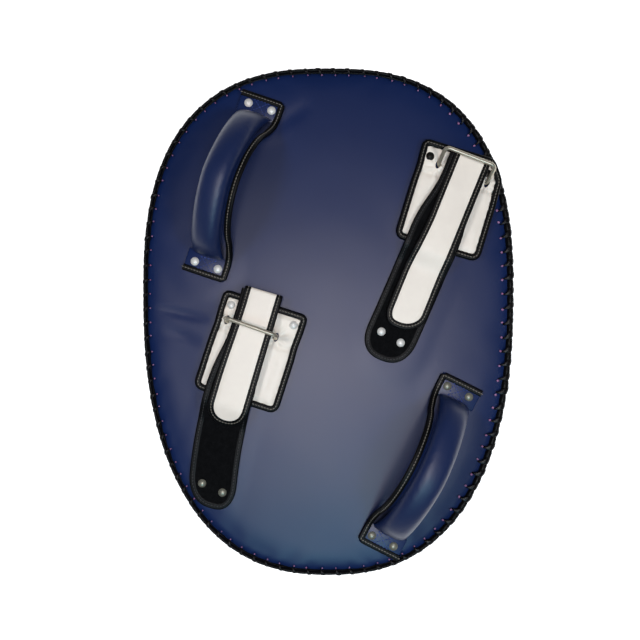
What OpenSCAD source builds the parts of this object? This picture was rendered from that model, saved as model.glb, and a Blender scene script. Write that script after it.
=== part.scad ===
// Oval strike pad held on the forearms, lying on its striking face with its back panel up.
// +Z points out of the back panel, +Y towards the broad end that is held uppermost.
// The origin is the middle of the footprint, on the surface that the striking face rests on.

/* [Pad body] */
// Length of the pad over the lacing
pad_length = 604; // [590:2:620]
// Width of the pad over the lacing
pad_width = 442; // [434:2:460]
// Thickness of the pad, striking face to back panel
pad_depth = 90; // [84:1:110]
// Distance of the widest line above the middle
waist_y = 35; // [30:1:40]
// Squareness of the upper half of the outline
upper_power = 2.6; // [2.5:0.05:2.7]
// Squareness of the lower half of the outline
lower_power = 2.4; // [2.3:0.05:2.5]
// Thickness of the leather panels
panel_t = 3; // [2:0.5:3]
// Thickness of the dense foam behind the striking face
strike_foam_t = 30; // [20:1:40]
// Thickness of the firm sheet that the rivets are clenched behind
backing_foam_t = 9; // [7:1:12]

/* [Handles] */
// Length of a handle over its two end tabs
handle_length = 226; // [216:2:230]
// Width of an end tab
tab_width = 54; // [50:1:56]
// Length of an end tab, from its end to the start of the padding
tab_length = 28; // [26:1:30]
// Width of the padded grip
grip_width = 40; // [38:1:42]
// Height of the grip's crown above the back panel
grip_height = 70; // [66:1:84]
// Height of the hand space under the crown
hand_space = 42; // [38:1:44]
// Upper handle, middle across the pad
upper_handle_x = -112.7; // [-114:0.1:-110]
// Upper handle, middle along the pad
upper_handle_y = 160.5; // [156:0.5:162]
// Upper handle, lean of its top end to the right
upper_handle_tilt = 18.7; // [17:0.1:20]
// Upper handle, how far its grip leans over to the pad's rim
upper_handle_lean = 14; // [8:1:16]
// Lower handle, middle across the pad
lower_handle_x = 108.8; // [106:0.1:110]
// Lower handle, middle along the pad
lower_handle_y = -171; // [-172:0.5:-166]
// Lower handle, lean of its top end to the right
lower_handle_tilt = 26.8; // [25:0.1:28]
// Lower handle, how far its grip leans over to the pad's rim
lower_handle_lean = 6; // [4:1:12]

/* [Buckle pads and rings] */
// Length of a buckle pad
buckle_length = 123; // [120:1:124]
// Width of the edge binding
binding_w = 8; // [7:0.5:9]
// Diameter of the ring wire
wire_d = 4.5; // [4:0.1:4.5]
// Distance between the middles of the ring's legs
ring_width = 61.5; // [61:0.5:62.5]
// Distance between the middles of the ring's bars
ring_height = 28; // [27:0.5:30]
// Left buckle pad: middle across, middle along, lean to the right
left_buckle = [-92, -35.5, 18];
// Left buckle pad's width
left_buckle_width = 105; // [102:1:106]
// Left ring's fixed bar: middle across, middle along, lean to the right
left_hinge = [-91.4, -10, 19.5];
// Angle of the left ring above the back panel, from flat towards the pad's top
left_ring_angle = 80; // [75:1:85]
// Right buckle pad: middle across, middle along, lean to the right
right_buckle = [145, 143.6, 17];
// Right buckle pad's width
right_buckle_width = 105; // [102:1:106]
// Right ring's fixed bar: middle across, middle along, lean to the right
right_hinge = [157.4, 172.8, 21];
// Angle of the right ring above the back panel, from flat towards the pad's top
right_ring_angle = 45; // [42:1:60]

/* [Arm straps] */
// Width of the tongue, and of the strap where it passes the ring
strap_width = 49; // [48:0.5:49.5]
// Left strap: middle at the ring across, along, lean to the right
left_strap_frame = [-89.9, -7.5, 16.5];
// Left strap: from the ring to the fold
left_fold = 46; // [40:1:48]
// Left strap: from the ring to the tongue's tip
left_tip = 120; // [118:1:130]
// Left strap's anchored end: from the ring to its rivets, from the ring to its end, and its width
left_anchor = [195, 219, 58];
// Left strap: sideways shift of the anchored end
left_bend = 11; // [4:0.5:12]
// Right strap: middle at the ring across, along, lean to the right
right_strap_frame = [158.2, 172, 22];
// Right strap: from the ring to the fold
right_fold = 23; // [22:1:26]
// Right strap: from the ring to the tongue's tip
right_tip = 195; // [190:1:197]
// Right strap's anchored end: from the ring to its rivets, from the ring to its end, and its width
right_anchor = [208, 238, 62];
// Right strap: sideways shift of the anchored end
right_bend = -2; // [-4:0.5:3]

/* [Hidden] */

fine = 64;
navy = "#1b2b52";
white_leather = "#ece6e0";
black_leather = "#141416";
nickel = "#c9c9c6";
foam = "#4a4a4e";

// The seam between the back panel and the side band, and the lace that closes it
lace_proud = 4;
lace_lap = 9;
lace_drop = 9;
lace_lift = 1.2;
piping_d = 6;
back_z = pad_depth - panel_t;
backing_z = back_z - backing_foam_t;
core_inset = lace_proud + panel_t + 2;
rounded_inset = 26;

// Rivets
cap_r = 5;
cap_h = 2.4;
shank_r = 2;
burr_r = 5;
burr_h = 1.6;
cap_sphere_r = (cap_r * cap_r + cap_h * cap_h) / (2 * cap_h);

// Handles
skin = 3;
tab_t = 4;
flange_t = 4;
flange_w = 8;
grip_half = handle_length / 2 - tab_length;
foot_l = 28;
arch_power = 1.9;
leg_below = 12;
tab_rivet = [14.3, handle_length / 2 - 14];
upper_handle = [upper_handle_x, upper_handle_y, upper_handle_tilt];
lower_handle = [lower_handle_x, lower_handle_y, lower_handle_tilt];

// Buckle pads, rings and keepers
wire_r = wire_d / 2;
ring_corner = 6;
hinge_z = pad_depth + 5.5;
keeper_base = 1.2;
buckle_t = 7;
buckle_top = pad_depth + buckle_t;
bead = 0.8;
keeper_bore = wire_r + 0.08;
keeper_r = wire_r + 1.15;
keeper_w = ring_width - wire_d - 9;
slot_w = ring_width + wire_d + 6;
slot_tip_side = 3.7;
slot_top_side = 6.6;
left_buckle_rivets = [[-38.5, 45.5], [38.5, 45.5]];
right_buckle_rivets = [[-39, 42], [32, 42]];
buckle_overhang = 1;

// Straps: layer heights are counted from the strap's underside
leather_t = 2;
tape_t = 1.2;
layer_t = leather_t + tape_t;
layer_gap = 0.6;
tongue_base = layer_t + layer_gap;
strap_t = tongue_base + layer_t;
strap_z = pad_depth + 9.2;
ramp_start = 98;
ramp_end = 119;
peel_y = 12;
anchor_rivet_x = 13.2;
anchor_rivet_tilt = 8;
bend_start = 80;
bend_reach = 110;
under_shift = -4;

function signed_power(value, power) = sign(value) * pow(abs(value), power);

// A point of the pad's outline at an angle, moved in by inset
function outline_point(angle, inset) =
  let (
    upper = sin(angle) >= 0,
    half_h = pad_length / 2 + (upper ? -waist_y : waist_y) - inset,
    power = 2 / (upper ? upper_power : lower_power)
  )
  [
    (pad_width / 2 - inset) * signed_power(cos(angle), power),
    waist_y + half_h * signed_power(sin(angle), power)
  ];

// A point of a frame [across, along, lean] given in the pad's own frame
function to_pad(frame, point) =
  [
    frame[0] + point[0] * cos(frame[2]) + point[1] * sin(frame[2]),
    frame[1] - point[0] * sin(frame[2]) + point[1] * cos(frame[2])
  ];

// The sideways shift of a strap's anchored end
function bend_at(distance, bend) = bend * pow(max(0, distance - bend_start) / bend_reach, 2);

// An arch of a half length and a height over a base line, from right to left
function arch(half_l, height, base) =
  [
    for (angle = [0 : 7.5 : 180])
      [half_l * signed_power(cos(angle), 2 / arch_power), base + height * pow(sin(angle), 2 / arch_power)]
  ];

function reversed(list) = [for (i = [len(list) - 1 : -1 : 0]) list[i]];

// Rivet centres of each riveted piece
upper_rivets = [for (i = [-1, 1]) for (j = [-1, 1]) to_pad(upper_handle, [i * tab_rivet[0], j * tab_rivet[1]])];
lower_rivets = [for (i = [-1, 1]) for (j = [-1, 1]) to_pad(lower_handle, [i * tab_rivet[0], j * tab_rivet[1]])];
left_buckle_points = [for (point = left_buckle_rivets) to_pad(left_buckle, point)];
right_buckle_points = [for (point = right_buckle_rivets) to_pad(right_buckle, point)];
left_anchor_points = anchor_points(left_strap_frame, left_anchor, left_bend);
right_anchor_points = anchor_points(right_strap_frame, right_anchor, right_bend);
all_rivets = concat(
  upper_rivets, lower_rivets, left_buckle_points, right_buckle_points, left_anchor_points, right_anchor_points
);

function anchor_points(frame, anchor, bend) =
  [
    for (i = [-1, 1])
      to_pad(frame, [
        bend_at(anchor[0], bend) + under_shift + i * anchor_rivet_x * cos(anchor_rivet_tilt),
        -anchor[0] - i * anchor_rivet_x * sin(anchor_rivet_tilt)
      ])
  ];

module place(frame) {
  translate([frame[0], frame[1], 0])
    rotate([0, 0, -frame[2]])
      children();
}

module outline(inset) {
  polygon([for (angle = [0 : 3 : 357]) outline_point(angle, inset)]);
}

module slab(inset, low, high) {
  translate([0, 0, low])
    linear_extrude(high - low)
      outline(inset);
}

module band(outer, inner, low, high) {
  difference() {
    slab(outer, low, high);
    slab(inner, low - 1, high + 1);
  }
}

// Extrudes a profile drawn as [along, up] across a piece, from one side to the other
module across(from, to) {
  translate([from, 0, 0])
    rotate([90, 0, 90])
      linear_extrude(to - from)
        children();
}

module shanks(points, radius, low, high) {
  for (point = points) {
    translate([point[0], point[1], low])
      cylinder(r = radius, h = high - low, $fn = fine);
  }
}

// Tubular rivets: a domed cap on a seat, a shank, and a burr under the back panel
module rivets(points, seat) {
  color(nickel)
    for (point = points) {
      translate([point[0], point[1], 0]) {
        translate([0, 0, back_z - burr_h])
          cylinder(r = shank_r, h = seat - back_z + burr_h + 0.5, $fn = fine);
        translate([0, 0, back_z - burr_h])
          cylinder(r = burr_r, h = burr_h, $fn = fine);
        intersection() {
          translate([0, 0, seat + cap_h - cap_sphere_r])
            sphere(r = cap_sphere_r, $fn = fine);
          translate([0, 0, seat])
            cylinder(r = cap_r, h = cap_h, $fn = fine);
        }
      }
    }
}

// ---------- pad body ----------

module front_panel() {
  color(navy)
    slab(lace_proud + 1, 0, panel_t);
}

module edge_piping() {
  color(black_leather)
    band(lace_proud - 2, lace_proud + 1, 1, 1 + piping_d);
}

module side_band() {
  color(navy)
    band(lace_proud, lace_proud + panel_t, 1 + piping_d, back_z);
}

module back_panel() {
  color(navy)
    difference() {
      slab(lace_proud, back_z, pad_depth);
      shanks(all_rivets, shank_r, back_z - 1, pad_depth + 1);
    }
}

// The whip lace round the back seam, drawn as the closed band that its stitches fill
module rim_lacing() {
  color(black_leather)
    difference() {
      union() {
        band(0, lace_proud, pad_depth - lace_drop, pad_depth + lace_lift);
        band(lace_proud - 1, lace_lap, pad_depth, pad_depth + lace_lift);
      }
      place(right_buckle)
        buckle_blank(right_buckle_width + 1, -0.5, pad_depth - 0.1, buckle_top);
      for (handle = [upper_handle, lower_handle]) {
        place(handle)
          tab_footprint();
      }
      place(left_strap_frame)
        under_plan(left_fold, left_anchor, left_bend, -1);
    }
}

// The outer foam layers are cut smaller, so that the leather rounds off over their edges
module strike_foam() {
  color(foam)
    slab(rounded_inset, panel_t, panel_t + strike_foam_t);
}

module core_foam() {
  color("#6b6b62")
    slab(core_inset, panel_t + strike_foam_t, backing_z);
}

// Firm sheet with a pocket round each rivet burr
module backing_foam() {
  color("#33343a")
    difference() {
      slab(rounded_inset, backing_z, back_z);
      shanks(all_rivets, burr_r + 0.8, back_z - burr_h - 2, back_z + 1);
    }
}

// ---------- handles ----------

// The space that the tabs of a handle cover, for clearing the lacing under them
module tab_footprint() {
  translate([-tab_width / 2 - 3, -handle_length / 2 - 1, pad_depth])
    cube([tab_width + 6, handle_length + 2, 6]);
}

// Tips an arch over to one side about the line between its feet, and cuts its legs off level
module leaning(angle, low) {
  intersection() {
    translate([0, 0, pad_depth])
      rotate([0, -angle, 0])
        translate([0, 0, -pad_depth])
          children();
    translate([-60, -handle_length / 2, low])
      cube([120, handle_length, 100]);
  }
}

// An arch that spans half_l either way, with legs that run on below the back panel
module grip_arch(half_l, height, foot, clearance, from, to) {
  deep = pad_depth - leg_below;
  across(from, to)
    polygon(concat(
      [[half_l, deep]],
      arch(half_l, height, pad_depth),
      [[-half_l, deep], [foot - half_l, deep]],
      reversed(arch(half_l - foot, clearance, pad_depth)),
      [[half_l - foot, deep]]
    ));
}

module grip_blank(lean) {
  leaning(lean, pad_depth)
    grip_arch(grip_half, grip_height, foot_l, hand_space, -grip_width / 2, grip_width / 2);
}

module grip_core(lean) {
  leaning(lean, pad_depth + skin)
    grip_arch(
      grip_half - skin, grip_height - skin, foot_l - 2 * skin, hand_space + skin,
      skin - grip_width / 2, grip_width / 2 - skin
    );
}

module handle_cover(frame, side, lean, points) {
  color(navy)
    difference() {
      place(frame)
        mirror([side < 0 ? 1 : 0, 0, 0])
          union() {
            difference() {
              grip_blank(lean);
              grip_core(lean);
            }
            for (end = [-1, 1]) {
              translate([-tab_width / 2, end > 0 ? grip_half - 2 : binding_w - 2 - handle_length / 2, pad_depth])
                cube([tab_width / 2 + grip_width / 2, tab_length + 2 - binding_w + 2, tab_t]);
            }
          }
      shanks(points, shank_r, pad_depth - 1, pad_depth + tab_t + 1);
    }
}

module handle_padding(frame, side, lean) {
  color(foam)
    place(frame)
      mirror([side < 0 ? 1 : 0, 0, 0])
        grip_core(lean);
}

// Edge binding: a stitched flange along one side of the grip, and round the tabs
module handle_binding(frame, side, lean) {
  flange_out = 13;
  end_w = binding_w - 2;
  color(black_leather)
    place(frame)
      mirror([side < 0 ? 1 : 0, 0, 0])
        difference() {
          union() {
            leaning(lean, pad_depth)
              grip_arch(
                grip_half - flange_out, grip_height - flange_out, flange_t, grip_height - flange_out - flange_t,
                grip_width / 2, grip_width / 2 + flange_w
              );
            for (end = [0, 1]) {
              mirror([0, end, 0]) {
                translate([grip_width / 2, grip_half - flange_out - 1, pad_depth])
                  cube([flange_w, tab_length + flange_out + 1, tab_t + 1]);
                translate([-tab_width / 2, handle_length / 2 - end_w, pad_depth])
                  cube([tab_width / 2 + grip_width / 2 + 1, end_w, tab_t + 1]);
              }
            }
          }
          grip_blank(lean);
        }
}

// ---------- buckle pads, rings and keepers ----------

// The outline of a buckle pad, with tight upper corners and round lower ones
module buckle_outline(width, inset) {
  half_w = width / 2 - inset;
  half_l = buckle_length / 2 - inset;
  upper_r = 6 - inset / 2;
  lower_r = 11 - inset;
  union() {
    for (i = [-1, 1]) {
      translate([i * (half_w - upper_r), half_l - upper_r])
        circle(r = upper_r, $fn = fine);
      translate([i * (half_w - lower_r), lower_r - half_l])
        circle(r = lower_r, $fn = fine);
    }
    translate([-half_w, lower_r - half_l])
      square([2 * half_w, 2 * half_l - upper_r - lower_r]);
    translate([upper_r - half_w, 0])
      square([2 * (half_w - upper_r), half_l]);
    translate([lower_r - half_w, -half_l])
      square([2 * (half_w - lower_r), half_l]);
  }
}

module buckle_blank(width, inset, low, high) {
  translate([0, 0, low])
    linear_extrude(high - low)
      buckle_outline(width, inset);
}

// Trims a piece placed by a frame to the pad's outline, moved in by inset
module on_panel(frame, inset) {
  intersection() {
    children();
    rotate([0, 0, frame[2]])
      translate([-frame[0], -frame[1], 0])
        slab(inset, pad_depth - 5, pad_depth + 20);
  }
}

// The slot that the ring's legs come up through, drawn about the ring's fixed bar
module ring_slot() {
  translate([-slot_w / 2, -slot_tip_side, pad_depth - 1])
    cube([slot_w, slot_tip_side + slot_top_side, buckle_t + 4]);
}

// The flat foam insert below the slot
module buckle_core(width) {
  translate([0, -22, 0])
    translate([-width / 2 + 14, -22, pad_depth + 2.6])
      cube([width - 28, 50, 2.8]);
}

module buckle_pad(frame, width, hinge, points) {
  color(white_leather)
    difference() {
      place(frame)
        difference() {
          on_panel(frame, binding_w + buckle_overhang)
            buckle_blank(width, binding_w, pad_depth + keeper_base, buckle_top);
          buckle_core(width);
        }
      place(hinge)
        ring_slot();
      shanks(points, shank_r, pad_depth - 1, buckle_top + 1);
    }
}

module buckle_foam(frame, width) {
  color(foam)
    place(frame)
      buckle_core(width);
}

module buckle_binding(frame, width) {
  color(black_leather)
    place(frame)
      difference() {
        on_panel(frame, buckle_overhang)
          buckle_blank(width, 0, pad_depth, buckle_top + bead);
        on_panel(frame, binding_w + buckle_overhang)
          buckle_blank(width, binding_w, pad_depth - 1, buckle_top + bead + 1);
      }
}

// The leather loop that holds the ring's fixed bar, sewn down under the buckle pad
module ring_keeper(hinge) {
  color(white_leather)
    place(hinge)
      difference() {
        union() {
          translate([-keeper_w / 2, -14, pad_depth])
            cube([keeper_w, 28, keeper_base]);
          translate([-keeper_w / 2, -keeper_r, pad_depth])
            cube([keeper_w, 2 * keeper_r, hinge_z - pad_depth]);
          translate([-keeper_w / 2, 0, hinge_z])
            rotate([0, 90, 0])
              cylinder(r = keeper_r, h = keeper_w, $fn = fine);
        }
        translate([-keeper_w / 2 - 1, 0, hinge_z])
          rotate([0, 90, 0])
            cylinder(r = keeper_bore, h = keeper_w + 2, $fn = fine);
      }
}

// A rectangular wire ring with bent corners, lying flat from its fixed bar at y = 0
module wire_ring() {
  half_w = ring_width / 2;
  for (y = [0, ring_height]) {
    translate([ring_corner - half_w, y, 0])
      rotate([0, 90, 0])
        cylinder(r = wire_r, h = ring_width - 2 * ring_corner, $fn = fine);
  }
  for (x = [-half_w, half_w]) {
    translate([x, ring_corner, 0])
      rotate([-90, 0, 0])
        cylinder(r = wire_r, h = ring_height - 2 * ring_corner, $fn = fine);
  }
  for (corner = [0 : 3]) {
    right = corner == 0 || corner == 3;
    top = corner < 2;
    translate([
      (right ? 1 : -1) * (half_w - ring_corner),
      top ? ring_height - ring_corner : ring_corner,
      0
    ])
      rotate([0, 0, 90 * corner])
        rotate_extrude(angle = 90, $fn = fine)
          translate([ring_corner, 0])
            circle(r = wire_r, $fn = 32);
  }
}

module ring(hinge, angle) {
  color(nickel)
    place(hinge)
      translate([0, 0, hinge_z])
        rotate([angle, 0, 0])
          wire_ring();
}

// ---------- arm straps ----------

// The side view of a strap layer, down a ramp off the buckle pad, between two heights
module layer_side(from, to, low, high) {
  drop = strap_z - pad_depth;
  top_line = [[from, strap_z], [-ramp_start, strap_z], [-ramp_end, strap_z - drop], [-to, strap_z - drop]];
  across(-60, 60)
    polygon(concat(
      [for (point = top_line) point + [0, high]],
      [for (point = reversed(top_line)) point + [0, low]]
    ));
}

// A layer that lies wholly on the buckle pad
module flat_side(from, to, low, high) {
  translate([-60, to, strap_z + low])
    cube([120, from - to, high - low]);
}

// The round turn at the fold, between an inner and the outer radius
module fold_turn(fold, inner) {
  outer = strap_t / 2;
  intersection() {
    translate([-60, fold - outer, strap_z + outer])
      rotate([0, 90, 0])
        difference() {
          cylinder(r = outer, h = 120, $fn = fine);
          translate([0, 0, -1])
            cylinder(r = inner, h = 122, $fn = fine);
        }
    translate([-60, fold - outer, strap_z - 1])
      cube([120, outer + 1, strap_t + 2]);
  }
}

// The plan of the riveted layer: narrow at the ring, wide and round at the anchored end
module under_plan(fold, anchor, bend, inset) {
  end = anchor[1];
  narrow = strap_width / 2 - inset;
  wide = anchor[2] / 2 - inset;
  round_l = 34;
  sides = [
    [narrow, fold + 1],
    [narrow, -20],
    [wide, -75],
    for (i = [0 : 5]) [wide, -120 - (end - round_l - 120) * i / 5]
  ];
  tip = [
    for (angle = [10 : 10 : 90])
      [wide * pow(cos(angle), 0.75), -(end - round_l) - (round_l - inset) * pow(sin(angle), 0.95)]
  ];
  half = concat(sides, tip);
  shift = function (point, side)
    [side * point[0] + bend_at(-point[1], bend) + under_shift * min(1, max(0, -point[1] / 60)), point[1]];
  translate([0, 0, pad_depth - 1])
    linear_extrude(strap_z + strap_t - pad_depth + 2)
      polygon(concat(
        [for (point = half) shift(point, 1)],
        [for (point = reversed(half)) shift(point, -1)]
      ));
}

// The plan of the tongue, from where it peels off to its round tip
module tongue_plan(tip, inset) {
  half_w = strap_width / 2 - inset;
  round_l = 26;
  arc = [
    for (angle = [0 : 10 : 180])
      [half_w * signed_power(cos(angle), 0.85), -(tip - round_l) - (round_l - inset) * pow(sin(angle), 0.85)]
  ];
  translate([0, 0, pad_depth - 1])
    linear_extrude(strap_z + strap_t - pad_depth + 2)
      polygon(concat([[-half_w, -peel_y], [half_w, -peel_y]], arc));
}

// The leather of the strap: riveted layer, turn at the fold, and the start of the upper layer
module strap(frame, fold, anchor, bend, points) {
  turn = fold - strap_t / 2;
  end = anchor[1] + 1;
  color(white_leather)
    difference() {
      place(frame) {
        intersection() {
          under_plan(fold, anchor, bend, binding_w);
          layer_side(turn, end, 0, leather_t);
        }
        intersection() {
          translate([binding_w - strap_width / 2, -peel_y, strap_z - 1])
            cube([strap_width - 2 * binding_w, fold + peel_y + 1, strap_t + 2]);
          union() {
            fold_turn(fold, strap_t / 2 - leather_t);
            flat_side(turn, -peel_y, strap_t - leather_t, strap_t);
          }
        }
      }
      shanks(points, shank_r, pad_depth - 1, pad_depth + layer_t + 1);
    }
}

module strap_loop_tape(frame, fold, anchor, bend, points) {
  color("#0e0e10")
    difference() {
      place(frame)
        intersection() {
          under_plan(fold, anchor, bend, binding_w);
          layer_side(fold - strap_t / 2 - 2, anchor[1] + 1, leather_t, layer_t);
        }
      shanks(points, shank_r, pad_depth - 1, pad_depth + layer_t + 1);
    }
}

module strap_binding(frame, fold, anchor, bend) {
  turn = fold - strap_t / 2;
  end = anchor[1] + 1;
  color(black_leather)
    place(frame) {
      difference() {
        intersection() {
          under_plan(fold, anchor, bend, 0);
          layer_side(turn, end, 0, layer_t);
        }
        under_plan(fold + 5, anchor, bend, binding_w);
      }
      difference() {
        intersection() {
          translate([-strap_width / 2, -peel_y, strap_z - 1])
            cube([strap_width, fold + peel_y + 1, strap_t + 2]);
          union() {
            fold_turn(fold, layer_gap / 2);
            flat_side(turn, -peel_y, tongue_base, strap_t);
          }
        }
        translate([binding_w - strap_width / 2, -peel_y - 1, strap_z - 2])
          cube([strap_width - 2 * binding_w, fold + peel_y + 4, strap_t + 4]);
      }
    }
}

module tongue(frame, tip) {
  color(white_leather)
    place(frame)
      intersection() {
        tongue_plan(tip, binding_w);
        layer_side(-peel_y, tip + 1, strap_t - leather_t, strap_t);
      }
}

module tongue_hook_tape(frame, tip) {
  color("#0e0e10")
    place(frame)
      intersection() {
        tongue_plan(tip, binding_w);
        layer_side(-peel_y - 20, tip + 1, tongue_base, tongue_base + tape_t);
      }
}

module tongue_binding(frame, tip) {
  color(black_leather)
    place(frame)
      difference() {
        intersection() {
          tongue_plan(tip, 0);
          layer_side(-peel_y, tip + 1, tongue_base, strap_t);
        }
        translate([0, 1, 0])
          tongue_plan(tip + 1, binding_w);
        tongue_plan(tip, binding_w);
      }
}

front_panel();
side_band();
back_panel();
rim_lacing();
edge_piping();
strike_foam();
core_foam();
backing_foam();

handle_cover(upper_handle, 1, upper_handle_lean, upper_rivets);  // upper_handle_cover
handle_padding(upper_handle, 1, upper_handle_lean);  // upper_handle_padding
handle_binding(upper_handle, 1, upper_handle_lean);  // upper_handle_binding
rivets(upper_rivets, pad_depth + tab_t);  // upper_handle_rivets
handle_cover(lower_handle, -1, lower_handle_lean, lower_rivets);  // lower_handle_cover
handle_padding(lower_handle, -1, lower_handle_lean);  // lower_handle_padding
handle_binding(lower_handle, -1, lower_handle_lean);  // lower_handle_binding
rivets(lower_rivets, pad_depth + tab_t);  // lower_handle_rivets

buckle_pad(left_buckle, left_buckle_width, left_hinge, left_buckle_points);  // left_buckle_pad
buckle_foam(left_buckle, left_buckle_width);  // left_buckle_foam
buckle_binding(left_buckle, left_buckle_width);  // left_buckle_binding
rivets(left_buckle_points, buckle_top);  // left_buckle_rivets
ring_keeper(left_hinge);  // left_ring_keeper
ring(left_hinge, left_ring_angle);  // left_ring
buckle_pad(right_buckle, right_buckle_width, right_hinge, right_buckle_points);  // right_buckle_pad
buckle_foam(right_buckle, right_buckle_width);  // right_buckle_foam
buckle_binding(right_buckle, right_buckle_width);  // right_buckle_binding
rivets(right_buckle_points, buckle_top);  // right_buckle_rivets
ring_keeper(right_hinge);  // right_ring_keeper
ring(right_hinge, right_ring_angle);  // right_ring

strap(left_strap_frame, left_fold, left_anchor, left_bend, left_anchor_points);  // left_strap
strap_loop_tape(left_strap_frame, left_fold, left_anchor, left_bend, left_anchor_points);  // left_strap_loop_tape
strap_binding(left_strap_frame, left_fold, left_anchor, left_bend);  // left_strap_binding
rivets(left_anchor_points, pad_depth + layer_t);  // left_strap_rivets
tongue(left_strap_frame, left_tip);  // left_tongue
tongue_hook_tape(left_strap_frame, left_tip);  // left_tongue_hook_tape
tongue_binding(left_strap_frame, left_tip);  // left_tongue_binding
strap(right_strap_frame, right_fold, right_anchor, right_bend, right_anchor_points);  // right_strap
strap_loop_tape(right_strap_frame, right_fold, right_anchor, right_bend, right_anchor_points);  // right_strap_loop_tape
strap_binding(right_strap_frame, right_fold, right_anchor, right_bend);  // right_strap_binding
rivets(right_anchor_points, pad_depth + layer_t);  // right_strap_rivets
tongue(right_strap_frame, right_tip);  // right_tongue
tongue_hook_tape(right_strap_frame, right_tip);  // right_tongue_hook_tape
tongue_binding(right_strap_frame, right_tip);  // right_tongue_binding
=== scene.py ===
"""Looks of a large oval strike pad: laced leather body, padded grips, ring buckles and bound arm straps.

Pieces are shaped in millimetres in the frame of the thing they belong to, then laid on the pad in metres.
"""
import math
import random

import bpy
from mathutils import Matrix, Vector, noise


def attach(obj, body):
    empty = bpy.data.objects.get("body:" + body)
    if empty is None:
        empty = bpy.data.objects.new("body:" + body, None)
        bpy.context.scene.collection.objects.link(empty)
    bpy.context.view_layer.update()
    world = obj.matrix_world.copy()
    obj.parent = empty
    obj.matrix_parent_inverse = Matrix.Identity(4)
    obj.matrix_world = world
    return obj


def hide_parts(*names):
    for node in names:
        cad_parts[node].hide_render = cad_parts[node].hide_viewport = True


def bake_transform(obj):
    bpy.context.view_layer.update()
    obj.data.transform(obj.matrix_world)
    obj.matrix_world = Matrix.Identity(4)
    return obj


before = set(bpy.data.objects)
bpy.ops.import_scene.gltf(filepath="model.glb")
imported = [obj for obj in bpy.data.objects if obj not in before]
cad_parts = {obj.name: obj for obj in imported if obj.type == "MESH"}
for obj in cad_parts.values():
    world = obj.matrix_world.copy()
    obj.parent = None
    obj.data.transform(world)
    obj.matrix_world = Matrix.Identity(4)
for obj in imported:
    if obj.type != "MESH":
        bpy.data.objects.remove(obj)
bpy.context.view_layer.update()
random.seed(11)

# ---------- sizes in millimetres, turns and leans in degrees ----------

MM = 0.001
PAD_LENGTH, PAD_WIDTH, BACK_Z = 604, 442, 90
FACE_INSET = 40
WAIST_Y, UPPER_POWER, LOWER_POWER = 35, 2.6, 2.4
FRONT_SEAM_Z, BACK_SEAM_Z = 7.5, 84
LACE_TURNS = 100

GRIP_HALF, GRIP_WIDTH, GRIP_HEIGHT, ARCH_POWER = 85, 40, 70, 1.9
TAB_WIDTH, HANDLE_HALF, TAB_RIVET_Y = 54, 113, 99
# A place is (across, along, turn). The binding is on the side given, and the arch leans the other way.
# caps picks a copy of the cap nickel, whose brightness is painted reflection.
HANDLES = {
    "upper_handle": {"place": (-112.7, 160.5, 18.7), "side": 1, "lean": 14, "caps": "bright"},
    "lower_handle": {"place": (108.8, -171.0, 26.8), "side": -1, "lean": 6, "caps": "painted_dim"},
}

BINDING_W = 8
BUCKLE_LENGTH, BUCKLE_WIDTH, BUCKLE_TOP = 123, 105, 97
STRAP_W = 49
STRAP_Z, LAYER_T, STRAP_T = 99.2, 3.2, 7.0
TURN_R = STRAP_T / 2
PEEL_Y = 12
PEEL_LENGTH = 12
TIP_ROUND, ANCHOR_ROUND = 26, 34
RAMP_START, RAMP_LENGTH = 94, 28
LEG_X = 30.75
THREAD_PITCH = 3.6
STITCH_SIZE = (0.62, 1.55, 0.4)

# Lengths run from the strap's place: up to its fold, and down to the tongue's tip, the rivets and the end.
# The narrowing is (amount, where it is full, where it ends).
# buckle_caps and strap_caps pick a copy of the cap nickel, whose brightness is painted reflection.
SETS = {
    "left": {
        "buckle": (-92, -35.5, 18), "hinge": (-91.4, -10, 19.5), "strap": (-89.9, -7.5, 16.5),
        "fold": 46, "tip": 120, "anchor": 195, "end": 219, "anchor_width": 58, "bend": 11,
        "narrowing": (3.5, 30, -75), "tip_skew": 0, "buckle_caps": "bright", "strap_caps": "painted_dim",
    },
    "right": {
        "buckle": (145, 143.6, 17), "hinge": (157.4, 172.8, 21), "strap": (158.2, 172, 22),
        "fold": 23, "tip": 195, "anchor": 208, "end": 238, "anchor_width": 62, "bend": -2,
        "narrowing": (4.6, -55, -135), "tip_skew": -5, "buckle_caps": "dark", "strap_caps": "bright",
    },
}


# ---------- camera ----------

def add_camera():
    """Straight above the back panel, and 95 cm from it."""
    bpy.ops.object.camera_add(location=(-0.010, 0.002, 1.040), rotation=(0, 0, 0))
    camera = bpy.context.object
    camera.name = "camera"
    camera.data.lens = 45
    camera.data.sensor_width = 36
    bpy.context.scene.camera = camera


add_camera()


# ---------- shaping by hand ----------

def pick(piece):
    bpy.ops.object.select_all(action="DESELECT")
    piece.select_set(True)
    bpy.context.view_layer.objects.active = piece


def edit(piece):
    pick(piece)
    bpy.ops.object.mode_set(mode="EDIT")
    bpy.ops.mesh.select_all(action="SELECT")


def stop_editing():
    bpy.ops.object.mode_set(mode="OBJECT")


def modify(piece, kind, **settings):
    """Adds a modifier and applies it."""
    pick(piece)
    made = piece.modifiers.new(kind, kind)
    for name, value in settings.items():
        setattr(made, name, value)
    bpy.ops.object.modifier_apply(modifier=made.name)


def join(pieces, name):
    bpy.ops.object.select_all(action="DESELECT")
    for piece in pieces:
        piece.select_set(True)
    bpy.context.view_layer.objects.active = pieces[0]
    bpy.ops.object.join()
    pieces[0].name = name
    return pieces[0]


def move_points(piece, rule):
    for point in piece.data.vertices:
        point.co = rule(point.co)
    piece.data.update()


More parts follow.
